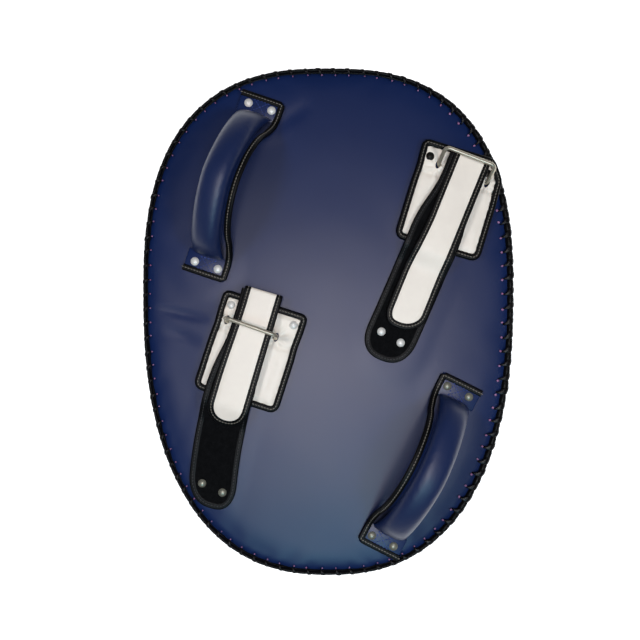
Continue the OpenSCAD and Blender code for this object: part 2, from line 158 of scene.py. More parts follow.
def skin(name, rows, smooth=50):
    """A skin over rows of points, all of one length. It starts as a flat grid, and open ends are closed."""
    bpy.ops.object.select_all(action="DESELECT")
    bpy.ops.mesh.primitive_grid_add(x_subdivisions=len(rows[0]) - 1, y_subdivisions=len(rows) - 1, size=2)
    piece = bpy.context.object
    piece.name = name
    last_across, last_row = len(rows[0]) - 1, len(rows) - 1
    move_points(piece, lambda co: rows[round((co.y + 1) / 2 * last_row)][round((co.x + 1) / 2 * last_across)])
    edit(piece)
    bpy.ops.mesh.remove_doubles(threshold=0.01)
    bpy.ops.mesh.fill_holes(sides=0)
    bpy.ops.mesh.normals_make_consistent(inside=False)
    stop_editing()
    pick(piece)
    bpy.ops.object.shade_smooth_by_angle(angle=math.radians(smooth))
    return piece


def copies(master, places, name):
    """The master piece repeated at each place, each copy with its own mesh, joined as one piece."""
    made = []
    for place in places:
        piece = master.copy()
        piece.data = master.data.copy()
        piece.data.transform(place)
        bpy.context.scene.collection.objects.link(piece)
        made.append(piece)
    bpy.data.objects.remove(master)
    return join(made, name)


def spot(place):
    """The matrix of a frame (across, along, lean in degrees) on the pad, from millimetres to metres."""
    x, y, lean = place
    turn = Matrix.Rotation(math.radians(-lean), 4, "Z")
    return Matrix.Translation((x * MM, y * MM, 0)) @ turn @ Matrix.Scale(MM, 4)


def on_pad(place, x, y):
    """A point of a frame, in the pad's own millimetres."""
    return spot(place) @ Vector((x, y, 0)) / MM


def lay(piece, place=(0, 0, 0)):
    piece.data.transform(spot(place))
    return piece


def power(value, exponent):
    return math.copysign(abs(value) ** exponent, value)


def ease(value):
    value = min(1, max(0, value))
    return value * value * (3 - 2 * value)


def outline(angle, inset):
    """A point of the pad's outline, moved in by inset."""
    upper = math.sin(angle) >= 0
    half_h = PAD_LENGTH / 2 + (-WAIST_Y if upper else WAIST_Y) - inset
    exponent = 2 / (UPPER_POWER if upper else LOWER_POWER)
    return Vector((
        (PAD_WIDTH / 2 - inset) * power(math.cos(angle), exponent),
        WAIST_Y + half_h * power(math.sin(angle), exponent),
        0,
    ))


def inside_rim(place, co, inset):
    """Moves a point of a placed piece in from the pad's rim, if it lies beyond it."""
    middle = Vector((0, WAIST_Y, 0))
    at = on_pad(place, co.x, co.y) - middle
    upper = at.y >= 0
    half_h = PAD_LENGTH / 2 + (-WAIST_Y if upper else WAIST_Y) - inset
    exponent = UPPER_POWER if upper else LOWER_POWER
    reach = (abs(at.x) / (PAD_WIDTH / 2 - inset)) ** exponent + (abs(at.y) / half_h) ** exponent
    reach = max(1, reach ** (1 / exponent))
    back = spot(place).inverted() @ ((middle + at / reach) * MM)
    return Vector((back.x, back.y, co.z))


def walk(points, count=None, pitch=None, closed=False):
    """Points at equal steps along a line, each with its direction and its share of the way."""
    line = points + points[:1] if closed else points
    lengths = [0.0]
    for a, b in zip(line, line[1:]):
        lengths.append(lengths[-1] + (b[0] - a[0]).length)
    count = count or max(2, round(lengths[-1] / pitch))
    steps = count if closed else count - 1
    made, k = [], 0
    for i in range(count):
        at = min(lengths[-1] * i / steps, lengths[-1] - 1e-6)
        while k < len(lengths) - 2 and lengths[k + 1] <= at:
            k += 1
        (a, up_a), (b, up_b) = line[k], line[k + 1]
        share = (at - lengths[k]) / (lengths[k + 1] - lengths[k])
        made.append((a.lerp(b, share), (b - a).normalized(), up_a.lerp(up_b, share).normalized()))
    return made


def smooth_line(points, rounds):
    """Cuts the corners of a line of (point, up) pairs, and keeps its ends."""
    for _ in range(rounds):
        cut = [points[0]]
        for (a, up_a), (b, up_b) in zip(points, points[1:]):
            cut.append((a.lerp(b, 0.25), up_a.lerp(up_b, 0.25)))
            cut.append((a.lerp(b, 0.75), up_a.lerp(up_b, 0.75)))
        points = cut + [points[-1]]
    return points


def slab_section(s0, s1, h0, h1, edge):
    """A closed section of a flat strip with rounded corners: (sideways, height) pairs."""
    across = 6
    section = [(s0 + edge + (s1 - s0 - 2 * edge) * i / across, h0) for i in range(across)]
    section += [(s1 - edge + edge * math.sin(a), h0 + edge - edge * math.cos(a)) for a in (0, 0.8, 1.57)]
    section += [(s1 - edge + edge * math.cos(a), h1 - edge + edge * math.sin(a)) for a in (0, 0.8)]
    section += [(s1 - edge - (s1 - s0 - 2 * edge) * i / across, h1) for i in range(across)]
    section += [(s0 + edge - edge * math.sin(a), h1 - edge + edge * math.cos(a)) for a in (0, 0.8, 1.57)]
    section += [(s0 + edge - edge * math.cos(a), h0 + edge - edge * math.sin(a)) for a in (0, 0.8)]
    return section + section[:1]


def binding_section(width, low, high):
    """A folded leather tape seen end on: a fat oval with a shallow furrow where the thread runs."""
    section = []
    for i in range(20):
        a = 2 * math.pi * i / 20
        s = width / 2 * power(math.cos(a), 0.6)
        h = (high + low) / 2 + (high - low) / 2 * power(math.sin(a), 0.7)
        if math.sin(a) > 0:
            h -= 0.35 * math.exp(-(s / 0.9) ** 2)
        section.append((s, h))
    return section + section[:1]


def strip(name, line, section, place, steps=None, pitch=2.5, closed=False):
    """A strip with one section all the way along a line of (point, up) pairs."""
    stations = walk(line, count=steps, pitch=pitch, closed=closed)
    if closed:
        stations.append(stations[0])
    rows = []
    for centre, along, up in stations:
        out = along.cross(up).normalized()
        rows.append([centre + out * s + up * h for s, h in section])
    return lay(skin(name, rows), place)


# ---------- materials ----------

def srgb(code):
    """A hex colour as linear light."""
    channels = [int(code[i:i + 2], 16) / 255 for i in (1, 3, 5)]
    linear = [c / 12.92 if c <= 0.04045 else ((c + 0.055) / 1.055) ** 2.4 for c in channels]
    return (*linear, 1.0)


def add_node(tree, kind, sockets=None, **settings):
    """Adds a shader node, sets it, and links or fills its sockets."""
    made = tree.nodes.new(kind)
    for name, value in settings.items():
        setattr(made, name, value)
    for name, value in (sockets or {}).items():
        if isinstance(value, bpy.types.NodeSocket):
            tree.links.new(value, made.inputs[name])
        else:
            made.inputs[name].default_value = value
    return made


def new_material(name):
    material = bpy.data.materials.new(name)
    material.use_nodes = True
    tree = material.node_tree
    tree.nodes.clear()
    shader = add_node(tree, "ShaderNodeBsdfPrincipled")
    add_node(tree, "ShaderNodeOutputMaterial", {"Surface": shader.outputs[0]})
    place = add_node(tree, "ShaderNodeTexCoord").outputs["Object"]
    return material, tree, shader, place


def between(tree, share, dark, light):
    """A colour between two hex colours, by another node's value."""
    mixed = add_node(tree, "ShaderNodeMix", {0: share, 6: srgb(dark), 7: srgb(light)}, data_type="RGBA")
    return mixed.outputs[2]


def emboss(tree, shader, height, strength, depth):
    """Raises a surface's marks by a depth in millimetres."""
    bump = add_node(tree, "ShaderNodeBump", {"Height": height, "Strength": strength, "Distance": depth * MM})
    tree.links.new(bump.outputs[0], shader.inputs["Normal"])


def leather(name, dark, light, roughness, grain=1.4, depth=0.12, mottle=60.0, wear=0.08, shine=0.5):
    """Finished cowhide: pebbled grain of a size in millimetres, a slow change of shade, and uneven gloss."""
    material, tree, shader, place = new_material(name)
    shade = add_node(tree, "ShaderNodeTexNoise", {
        "Vector": place, "Scale": 1000 / mottle, "Detail": 5.0, "Roughness": 0.55,
    })
    pores = add_node(tree, "ShaderNodeTexVoronoi", {
        "Vector": place, "Scale": 1000 / grain, "Randomness": 0.9,
    }, feature="SMOOTH_F1")
    fine = add_node(tree, "ShaderNodeTexNoise", {
        "Vector": place, "Scale": 1000 / (grain * 0.35), "Detail": 3.0,
    })
    height = add_node(tree, "ShaderNodeMath", {
        0: pores.outputs["Distance"], 1: fine.outputs[0],
    }, operation="ADD")
    gloss = add_node(tree, "ShaderNodeMapRange", {
        "Value": shade.outputs[0], "From Min": 0.3, "From Max": 0.7,
        "To Min": roughness - wear, "To Max": roughness + wear,
    })
    emboss(tree, shader, height.outputs[0], 0.5, depth)
    tree.links.new(between(tree, shade.outputs[0], dark, light), shader.inputs["Base Color"])
    tree.links.new(gloss.outputs[0], shader.inputs["Roughness"])
    shader.inputs["IOR"].default_value = 1.5
    shader.inputs["Specular IOR Level"].default_value = shine
    return material


def navy_leather():
    """Dyed and top-finished cowhide: deep navy, with a satin finish that shows a broad sheen."""
    return leather("navy_leather", "#0b1b42", "#0f214c", 0.34, grain=1.5, depth=0.03, mottle=110, wear=0.012)


def grip_leather():
    """The same navy cowhide, stretched over a grip and polished by hands to a broader, stronger shine."""
    return leather(
        "navy_grip_leather", "#0a193e", "#0e1f48", 0.45, depth=0.03, mottle=70, wear=0.02, shine=0.8
    )


def white_leather():
    """White pigmented cowhide: an opaque finish that shows faint grey handling marks."""
    return leather("white_leather", "#d8cfc5", "#efe7dc", 0.42, grain=1.2, depth=0.06, mottle=35)


def binding_leather():
    """Thin black leather tape, pressed smooth where it is folded over an edge."""
    return leather("binding_leather", "#030304", "#0a0a0a", 0.45, grain=1.0, depth=0.10, mottle=9, shine=0.2)


def lace_leather():
    """Black leather lace: waxed, round-edged and polished where it bends over the rim."""
    return leather("lace_leather", "#020203", "#0b0809", 0.42, grain=1.6, depth=0.12, mottle=8, shine=0.35)


def pile_tape(name, dark, light, fibre, depth):
    """Woven nylon tape with a raised pile of fibres, drawn as coarse tufts so that it shows."""
    material, tree, shader, place = new_material(name)
    tufts = add_node(tree, "ShaderNodeTexNoise", {
        "Vector": place, "Scale": 1000 / fibre, "Detail": 6.0, "Roughness": 0.75,
    })
    lint = add_node(tree, "ShaderNodeTexNoise", {
        "Vector": place, "Scale": 160.0, "Detail": 8.0, "Roughness": 0.8,
    })
    mixed = add_node(tree, "ShaderNodeMath", {
        0: tufts.outputs[0], 1: lint.outputs[0],
    }, operation="MULTIPLY")
    share = add_node(tree, "ShaderNodeMapRange", {
        "Value": mixed.outputs[0], "From Min": 0.2, "From Max": 0.45,
    })
    emboss(tree, shader, tufts.outputs[0], 0.9, depth)
    tree.links.new(between(tree, share.outputs[0], dark, light), shader.inputs["Base Color"])
    shader.inputs["Roughness"].default_value = 0.95
    shader.inputs["Specular IOR Level"].default_value = 0.2
    return material


def nickel(name, code, roughness, metallic):
    """Nickel-plated steel with fine uneven marks. A satin plate also scatters light, so it is less metallic; on
    the caps, colour and metallic are also set to paint their reflection, pale, dim or dark.
    """
    material, tree, shader, place = new_material(name)
    marks = add_node(tree, "ShaderNodeTexNoise", {"Vector": place, "Scale": 900.0, "Detail": 4.0})
    gloss = add_node(tree, "ShaderNodeMapRange", {
        "Value": marks.outputs[0], "To Min": roughness - 0.05, "To Max": roughness + 0.08,
    })
    emboss(tree, shader, marks.outputs[0], 0.1, 0.03)
    tree.links.new(gloss.outputs[0], shader.inputs["Roughness"])
    shader.inputs["Base Color"].default_value = srgb(code)
    shader.inputs["Metallic"].default_value = metallic
    return material


def thread(name, dark, light):
    """Bonded polyester sewing thread: a twisted strand, drawn as slanted bands."""
    material, tree, shader, place = new_material(name)
    twist = add_node(tree, "ShaderNodeTexNoise", {"Vector": place, "Scale": 220.0, "Detail": 2.0})
    strand = add_node(tree, "ShaderNodeTexWave", {
        "Vector": place, "Scale": 900.0, "Distortion": 1.0,
    }, bands_direction="DIAGONAL")
    emboss(tree, shader, strand.outputs["Fac"], 0.4, 0.1)
    tree.links.new(between(tree, twist.outputs[0], dark, light), shader.inputs["Base Color"])
    shader.inputs["Roughness"].default_value = 0.6
    return material


def foam(name, dark, light, cell):
    """Closed-cell foam cut from block: matt, with its cells open on the cut faces."""
    material, tree, shader, place = new_material(name)
    cells = add_node(tree, "ShaderNodeTexVoronoi", {"Vector": place, "Scale": 1000 / cell})
    emboss(tree, shader, cells.outputs["Distance"], 0.8, 0.4)
    tree.links.new(between(tree, cells.outputs["Distance"], dark, light), shader.inputs["Base Color"])
    shader.inputs["Roughness"].default_value = 0.9
    return material


def paper_floor():
    """White paper, which also glows a little so that it stays white under a soft light."""
    material, tree, shader, place = new_material("white_paper")
    fibre = add_node(tree, "ShaderNodeTexNoise", {"Vector": place, "Scale": 300.0, "Detail": 3.0})
    emboss(tree, shader, fibre.outputs[0], 0.1, 0.2)
    shader.inputs["Base Color"].default_value = srgb("#f4f4f4")
    shader.inputs["Roughness"].default_value = 0.9
    shader.inputs["Emission Color"].default_value = (1, 1, 1, 1)
    shader.inputs["Emission Strength"].default_value = 0.85
    return material


NAVY = navy_leather()
GRIP = grip_leather()
WHITE = white_leather()
BINDING = binding_leather()
LACE = lace_leather()
LOOP_TAPE = pile_tape("loop_tape_pile", "#040405", "#141416", fibre=0.9, depth=0.5)
HOOK_TAPE = pile_tape("hook_tape_pile", "#050506", "#1a1a1c", fibre=1.6, depth=0.8)
WIRE = nickel("nickel_wire", "#d2c9b6", 0.4, metallic=0.85)
# Three copies of one nickel, lit and shaded in their colour: the bright caps' near-white is partly the metal
# and partly a painted highlight; the dim and dark caps are painted dim and dark reflections.
CAPS = {
    "bright": nickel("nickel_caps", "#f6f3ee", 0.5, metallic=0.5),
    "painted_dim": nickel("painted_dim_reflection_nickel_caps", "#a5a394", 0.42, metallic=0.75),
    "dark": nickel("painted_dark_reflection_nickel_caps", "#2c2926", 0.45, metallic=0.8),
}
GREY_THREAD = thread("grey_thread", "#4d4943", "#8c867c")
BLACK_THREAD = thread("black_thread", "#1a1a1b", "#3b3b3c")
NAVY_THREAD = thread("navy_thread", "#16235a", "#3a4c8c")
PINK_THREAD = thread("pink_thread", "#7a2a55", "#a184ad")
DENSE_FOAM = foam("dense_eva_foam", "#1c1c1f", "#303034", cell=1.2)
SOFT_FOAM = foam("soft_pu_foam", "#5e5b50", "#77735f", cell=2.5)


def dress(piece, material, replaces=()):
    """Gives a piece of the pad's body its material, attaches it to the pad, and hides the CAD nodes it stands
    for.
    """
    piece.data.materials.clear()
    piece.data.materials.append(material)
    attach(piece, "pad")
    label(replaces)
    return piece


def label(replaces):
    if replaces:
        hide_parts(*replaces)


def paint(node_name, material):
    """A better material on a CAD node that stays."""
    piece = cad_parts[node_name]
    piece.data.materials.clear()
    piece.data.materials.append(material)


# ---------- stuffing by cloth simulation ----------

def stuff(piece, voxel, cap, pinned):
    """Swells a closed skin over its filling: cloth with pressure inside, moved at most cap metres."""
    pressure, steps = 4.0, 20
    modify(piece, "REMESH", mode="VOXEL", voxel_size=voxel)
    rest = [point.co.copy() for point in piece.data.vertices]
    cloth = piece.modifiers.new("cloth", "CLOTH")
    held = piece.vertex_groups.new(name="held")
    held.add([i for i, co in enumerate(rest) if pinned(co / MM)], 1.0, "REPLACE")
    cloth.settings.vertex_group_mass = "held"
    cloth.settings.quality = 5
    cloth.settings.use_pressure = True
    cloth.settings.uniform_pressure_force = pressure
    cloth.settings.effector_weights.gravity = 0
    for step in range(1, steps + 1):
        bpy.context.scene.frame_set(step)
    swollen = piece.evaluated_get(bpy.context.evaluated_depsgraph_get()).data
    moves = [b.co - a for a, b in zip(rest, swollen.vertices)]
    piece.modifiers.remove(cloth)
    piece.vertex_groups.clear()
    for point, co, move in zip(piece.data.vertices, rest, moves):
        point.co = co + move * min(1, cap / max(move.length, 1e-9))
    bpy.context.scene.frame_set(1)
    modify(piece, "SUBSURF", levels=1, render_levels=1)
    pick(piece)
    bpy.ops.object.shade_smooth()


# ---------- pad body ----------

def body_rows():
    """The skin from the middle of the striking face, out round the side, to the middle of the back panel.

    The side is given as (distance in from the outline, height).
    """
    flat_face = [(0.02, 0.6), (0.3, 0.6), (0.6, 0.6), (0.85, 0.6)]
    side = [
        (FACE_INSET, 0.6),
        (24, 0.8), (16, 1.8), (10.5, 4), (6.8, FRONT_SEAM_Z), (5.4, 11), (4.4, 18), (4.0, 34),
        (4.0, 52), (4.0, 68), (4.0, 78), (3.4, 83), (3.0, 87), (4.8, 89.2), (11, 89.8), (27, 89.9),
        (FACE_INSET, BACK_Z),
    ]
    back_face = [(share, BACK_Z) for share in (0.85, 0.6, 0.3, 0.02)]
    angles = [2 * math.pi * i / 160 for i in range(161)]
    middle = Vector((0, WAIST_Y, 0))
    rows = []
    for share, z in flat_face:
        rows.append([middle.lerp(outline(a, FACE_INSET), share) + Vector((0, 0, z)) for a in angles])
    for inset, z in side:
        rows.append([outline(a, inset) + Vector((0, 0, z)) for a in angles])
    for share, z in back_face:
        rows.append([middle.lerp(outline(a, FACE_INSET), share) + Vector((0, 0, z)) for a in angles])
    return rows


def held_spots():
    """Places where something is riveted to the back panel, which keep the leather flat."""
    spots = []
    for parts in HANDLES.values():
        spots += [(on_pad(parts["place"], 0, y), 45) for y in (TAB_RIVET_Y, -TAB_RIVET_Y)]
    for parts in SETS.values():
        spots.append((on_pad(parts["buckle"], 0, 0), 80))
        spots += [(on_pad(parts["strap"], 0, -y), 45) for y in range(80, parts["anchor"] + 40, 35)]
    return spots


def crease(co, start, end, width, depth):
    """How far a fold between two points lowers the leather."""
    along = end - start
    share = min(1, max(0, (co - start).dot(along) / along.length_squared))
    distance = (co - start - along * share).length
    return depth * math.exp(-(distance / width) ** 2) * math.sin(math.pi * min(0.999, max(0.02, share)))


def settle_back_panel(co, spots):
    """Slow dips of the back panel, folds by its left and upper edges, and leather held down at the rivets."""
    at = co / MM
    if at.z < 60:
        return Vector((co.x, co.y, max(co.z, 0.3 * MM)))
    flat = Vector((at.x, at.y, 0))
    ground = noise.noise(flat / 110) + 0.3 * noise.noise(flat / 60)
    dip = max(0, 0.5 + 0.45 * ground)
    for middle, reach in spots:
        dip *= ease(((flat - middle).length - reach * 0.55) / (reach * 0.6))
    dip += crease(flat, Vector((-212, 18, 0)), Vector((-140, 2, 0)), 5.5, 1.1)
    dip += crease(flat, Vector((-200, -8, 0)), Vector((-150, -26, 0)), 7, 0.8)
    dip += crease(flat, Vector((-70, 225, 0)), Vector((-20, 262, 0)), 9, 0.8)
    level = BACK_Z - 0.9 * math.log(1 + math.exp((BACK_Z - at.z) / 0.9))
    return Vector((co.x, co.y, (level - dip * ease((at.z - 60) / 28)) * MM))


def pad_cover():
    """The whole leather cover, striking face, side band and back panel, swollen over its foam."""
    cover = lay(skin("pad_cover", body_rows()))
    stuff(
        cover, voxel=0.006, cap=0.0022,
        pinned=lambda at: abs(at.z - FRONT_SEAM_Z) < 4 or abs(at.z - BACK_SEAM_Z) < 4,
    )
    spots = held_spots()
    move_points(cover, lambda co: settle_back_panel(co, spots))
    dress(cover, NAVY, replaces=("front_panel", "side_band", "back_panel"))


def rim_line(inset, z, count=240):
    up = Vector((0, 0, 1))
    return [(outline(2 * math.pi * i / count, inset) + up * z, up) for i in range(count)]


def round_section(width, height):
    sides = 12
    section = [
        (width / 2 * math.cos(2 * math.pi * i / sides), height / 2 * math.sin(2 * math.pi * i / sides))
        for i in range(sides)
    ]
    return section + section[:1]


def front_piping():
    """Piping sewn into the seam round the striking face."""
    line = rim_line(4.8, FRONT_SEAM_Z)
    piping = strip("front_piping", line, round_section(6, 6), (0, 0, 0), steps=300, closed=True)
    dress(piping, BINDING, replaces=("edge_piping",))


def seam_cord():
    """The rolled-up seam allowance that lies between the back panel's edge and the roll."""
    line = rim_line(4.6, 84.2)
    cord = strip("seam_allowance", line, round_section(4.4, 5), (0, 0, 0), steps=300, closed=True)
    dress(cord, BINDING)


def slack(at):
    """How slack the lace is: tight all round, and looser and fuller along the right-hand edge."""
    return ease((at.x / (PAD_WIDTH / 2) - 0.3) / 0.6)


def edge_roll():
    """The black roll over the back seam, nipped in where each turn of the lace draws it tight."""
    steps = 6
    stations = walk(rim_line(0, 0), count=LACE_TURNS * steps, closed=True)
    stations.append(stations[0])
    rows = []
    for i, (at, along, _) in enumerate(stations):
        out = Vector((along.y, -along.x, 0))
        loose = slack(at)
        nip = 1 - (0.16 + 0.12 * loose) * (1 - abs(math.sin(math.pi * i / steps)))
        lump = 1 + 0.16 * noise.noise(at / 13) + 0.1 * loose * noise.noise(at / 5)
        half_w, half_h = (2.6 + 1.7 * loose) * nip * lump, 4.8 * nip
        centre = at - out * (2.8 + 1.5 * loose) + Vector((0, 0, 86.2))
        ring = [2 * math.pi * k / 14 for k in range(15)]
        rows.append([
            centre + out * (half_w * math.cos(a)) + Vector((0, 0, half_h * math.sin(a))) for a in ring
        ])
    return lay(skin("rim_roll", rows, smooth=70))


def lace_turn():
    """One turn of the lace, from its hole in the back panel, over the roll, to its hole in the side band.

    Its own frame has X along the rim, Y outwards from the outline and Z up. The route is given as
    (x, y, z, half width, half thickness).
    """
    route = [
        (-1.6, -9.0, 88.4, 0.5, 0.5), (-1.6, -8.0, 90.4, 0.7, 0.6), (-1.3, -6.4, 91.0, 1.0, 0.7),
        (-0.6, -4.6, 91.4, 2.1, 1.0), (0.5, -2.6, 91.4, 2.8, 1.1), (1.6, -1.1, 89.6, 3.0, 1.1),
        (2.4, -0.7, 86.4, 2.9, 1.1), (3.0, -1.3, 83.2, 2.4, 1.0), (3.4, -2.8, 80.9, 1.6, 0.9),
        (3.6, -5.2, 80.2, 1.0, 0.7),
    ]
    rows = []
    for i, (x, y, z, half_w, half_t) in enumerate(route):
        before, after = route[max(0, i - 1)], route[min(len(route) - 1, i + 1)]
        along = Vector((after[0] - before[0], after[1] - before[1], after[2] - before[2])).normalized()
        side = Vector((1, 0, 0)) - along * along.x
        side.normalize()
        up = side.cross(along)
        centre = Vector((x, y, z))
        ring = [2 * math.pi * k / 8 for k in range(9)]
        rows.append([centre + side * (half_w * math.cos(a)) + up * (half_t * math.sin(a)) for a in ring])
    return skin("lace_turn", rows, smooth=80)


def rim_places():
    """A frame at each turn of the lace, at equal steps round the outline, wider where the lace is slack."""
    places = []
    for at, along, _ in walk(rim_line(0, 0), count=LACE_TURNS, closed=True):
        out = Vector((along.y, -along.x, 0))
        turn = Matrix((along, out, Vector((0, 0, 1)))).transposed().to_4x4()
        reach = 1 + 0.55 * slack(at)
        sway = Matrix.Rotation(random.uniform(-0.14, 0.14), 4, "Z")
        width = reach * random.uniform(0.8, 1.2)
        places.append(Matrix.Translation(at) @ turn @ sway @ Matrix.Diagonal((width, reach, 1, 1)))
    return places


def rim_lacing():
    """The roll over the back seam, the lace whipped round it, and a knot of thread in each hole."""
    lace = copies(lace_turn(), rim_places(), "rim_lace")
    modify(lace, "SUBSURF", levels=1, render_levels=1)
    lay(lace)
    bpy.ops.object.select_all(action="DESELECT")
    bpy.ops.mesh.primitive_uv_sphere_add(segments=8, ring_count=5, radius=1.0)
    knot = bpy.context.object
    knot.data.transform(Matrix.Translation((-1.6, -9.4, 90.4)) @ Matrix.Diagonal((0.9, 1.0, 0.8, 1)))
    knots = lay(copies(knot, rim_places(), "lace_hole_knots"))
    dress(edge_roll(), BINDING)
    dress(lace, LACE, replaces=("rim_lacing",))
    dress(knots, PINK_THREAD)


# ---------- sewing ----------

def stitch():
    """One stitch: a short round-ended strand that lies along Y."""
    bpy.ops.object.select_all(action="DESELECT")
    bpy.ops.mesh.primitive_uv_sphere_add(segments=6, ring_count=5, radius=1.0)
    master = bpy.context.object
    master.data.transform(Matrix.Diagonal((*STITCH_SIZE, 1)) @ Matrix.Rotation(math.pi / 2, 4, "X"))
    bpy.ops.object.shade_smooth()
    return master


def sew(name, line, height, place, material=None, body="pad", pitch=THREAD_PITCH):
    """A row of stitches along a line of (point, up) pairs, at a height above it."""
    places = []
    for at, along, up in walk(line, pitch=pitch):
        side = along.cross(up).normalized()
        turn = Matrix((side, along, side.cross(along))).transposed().to_4x4()
        places.append(Matrix.Translation(at + up * height) @ turn)
    row = lay(copies(stitch(), places, name), place)
    row.data.materials.clear()
    row.data.materials.append(material or GREY_THREAD)
    if body:
        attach(row, body)
    return row


# ---------- handles ----------

def arch_line(half_l, height, x, low, high, count, exponent=ARCH_POWER):
    """Points along an arch over the back panel, with the outward direction at each."""
    def at(angle):
        along = half_l * power(math.cos(angle), 2 / exponent)
        return Vector((x, along, BACK_Z + height * abs(math.sin(angle)) ** (2 / exponent)))

    line = []
    for i in range(count + 1):
        angle = low + (high - low) * i / count
        ahead = at(angle + 0.01) - at(angle - 0.01)
        line.append((at(angle), Vector((0, ahead.z, -ahead.y)).normalized()))
    return line


def tip_over(line, parts):
    """Leans an arch over to the pad's rim, about the line between its feet."""
    turn = Matrix.Rotation(math.radians(-parts["side"] * parts["lean"]), 4, "Y")
    foot = Vector((0, 0, BACK_Z))
    return [(turn @ (at - foot) + foot, turn @ up) for at, up in line]


def grip(name, parts):
    """The stuffed grip: flat and wide where it leaves the tabs, round and narrower at its crown."""
    rows = []
    steps, foot = 44, 0.03
    line = tip_over(arch_line(GRIP_HALF + 2, 55, 0, foot, math.pi - foot, steps, exponent=1.65), parts)
    for i, (centre, up) in enumerate(line):
        rise = math.sin(foot + (math.pi - 2 * foot) * i / steps)
        bulk = ease(rise / 0.6)
        half_w, half_t = 22.0 - 4.2 * bulk, 1.6 + 11.2 * bulk
        across = up.cross((line[min(steps, i + 1)][0] - line[max(0, i - 1)][0]).normalized())
        centre = centre + Vector((0, 0, 1.7))
        ring = [2 * math.pi * k / 24 for k in range(25)]
        rows.append([
            centre + across * (half_w * power(math.cos(a), 0.75)) + up * (half_t * power(math.sin(a), 0.95))
            for a in ring
        ])
    cover = lay(skin(name, rows), parts["place"])
    stuff(cover, voxel=0.0032, cap=0.0022, pinned=lambda at: at.z < BACK_Z + 5)
    move_points(cover, lambda co: Vector((co.x, co.y, max(co.z, (BACK_Z - 1) * MM))))
    return cover


def tab(name, place, end):
    """A flat riveted end tab, with softened edges and corners."""
    start = GRIP_HALF - 1
    length = HANDLE_HALF - start
    bpy.ops.object.select_all(action="DESELECT")
    bpy.ops.mesh.primitive_cube_add(size=1, location=(0, 0, 0))
    plate = bpy.context.object
    plate.name = name
    middle = Vector((0, end * (start + length / 2), BACK_Z + 1.9))
    plate.data.transform(Matrix.Translation(middle) @ Matrix.Diagonal((TAB_WIDTH - 3, length - 2, 3.7, 1)))
    modify(plate, "BEVEL", width=1.2, segments=3, limit_method="NONE")
    modify(plate, "SUBSURF", levels=1, render_levels=1, subdivision_type="SIMPLE")
    pick(plate)
    bpy.ops.object.shade_smooth_by_angle(angle=math.radians(40))
    return lay(plate, place)


def handle_edge_line(parts):
    """The line of the binding: round one tab, along the grip's inner side, and round the other tab."""
    up = Vector((0, 0, 1))
    side = parts["side"]
    edge_x = side * (GRIP_WIDTH / 2 + BINDING_W / 2)
    tab_z = BACK_Z + 2.4
    far = HANDLE_HALF - BINDING_W / 2
    arch = tip_over(arch_line(GRIP_HALF - 15, GRIP_HEIGHT - 15, edge_x, 0.3, math.pi - 0.3, 26), parts)
    start = [(Vector((-side * (TAB_WIDTH / 2 - 1), far, tab_z)), up), (Vector((edge_x, far, tab_z)), up),
             (Vector((edge_x, far - 1, tab_z)), up), (Vector((edge_x, 84, tab_z)), up)]
    finish = [(Vector((at.x, -at.y, at.z)), up) for at, _ in reversed(start)]
    return start + arch + finish


def tab_stitching(name, place, end):
    """A sewn box with a cross in it, between the rivets."""
    z = Vector((0, 0, BACK_Z + 3.9))
    near, far, half = end * 91, end * 105.5, 8.5
    corners = [Vector((x, y, 0)) for x, y in ((-half, near), (half, near), (half, far), (-half, far))]
    up = Vector((0, 0, 1))
    runs = [(0, 1), (1, 2), (2, 3), (3, 0), (0, 2), (1, 3)]
    rows = []
    for k, (a, b) in enumerate(runs):
        line = [(corners[a] + z, up), (corners[b] + z, up)]
        rows.append(sew(f"{name}_{k}", line, 0, place, NAVY_THREAD, body=None, pitch=3.4))
    box = join(rows, name)
    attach(box, "pad")


def handle(name, parts):
    """A grab handle: stuffed grip, riveted tabs, binding along its inner side, and its stitching."""
    place = parts["place"]
    cover = grip(f"{name}_grip", parts)
    dress(cover, GRIP, replaces=(f"{name}_cover", f"{name}_padding"))
    for end, end_name in ((1, "top"), (-1, "bottom")):
        plate = tab(f"{name}_{end_name}_tab", place, end)
        dress(plate, NAVY)
        tab_stitching(f"{name}_{end_name}_stitching", place, end)
    line = smooth_line(handle_edge_line(parts), rounds=2)
    binding = strip(f"{name}_edge_binding", line, binding_section(BINDING_W, -2.4, 2.6), place, pitch=2.5)
    dress(binding, BINDING, replaces=(f"{name}_binding",))
    sew(f"{name}_edge_stitching", line, 2.4, place)
    paint(f"{name}_rivets", CAPS[parts["caps"]])


# ---------- buckle pads ----------

def buckle_edge(place, inset):
    """The outline of a buckle pad as points, which follows the pad's rim where it would hang over it."""
    steps = 11
    half_w, half_l = BUCKLE_WIDTH / 2 - inset, BUCKLE_LENGTH / 2 - inset
    upper_r, lower_r = 6 - inset / 2, 11 - inset
    corners = [(1, 1, upper_r, 0), (-1, 1, upper_r, 90), (-1, -1, lower_r, 180), (1, -1, lower_r, 270)]
    points = []
    for i, (sx, sy, radius, start) in enumerate(corners):
        centre = Vector((sx * (half_w - radius), sy * (half_l - radius), 0))
        for k in range(steps):
            a = math.radians(start + 90 * k / (steps - 1))
            points.append(centre + Vector((radius * math.cos(a), radius * math.sin(a), 0)))
        next_sx, next_sy, next_r, next_start = corners[(i + 1) % 4]
        after = Vector((next_sx * (half_w - next_r), next_sy * (half_l - next_r), 0))
        after += Vector((math.cos(math.radians(next_start)), math.sin(math.radians(next_start)), 0)) * next_r
        last = points[-1]
        points += [last.lerp(after, k / 16) for k in range(1, 16)]
    return [inside_rim(place, co, inset + 1) for co in points]


def pinch(co, bar_y):
    """Draws the sides in a little at the crease under the ring's bar."""
    pull = 0.018 * math.exp(-((co.y - bar_y + 4) / 12) ** 2)
    return Vector((co.x * (1 - pull), co.y, co.z))


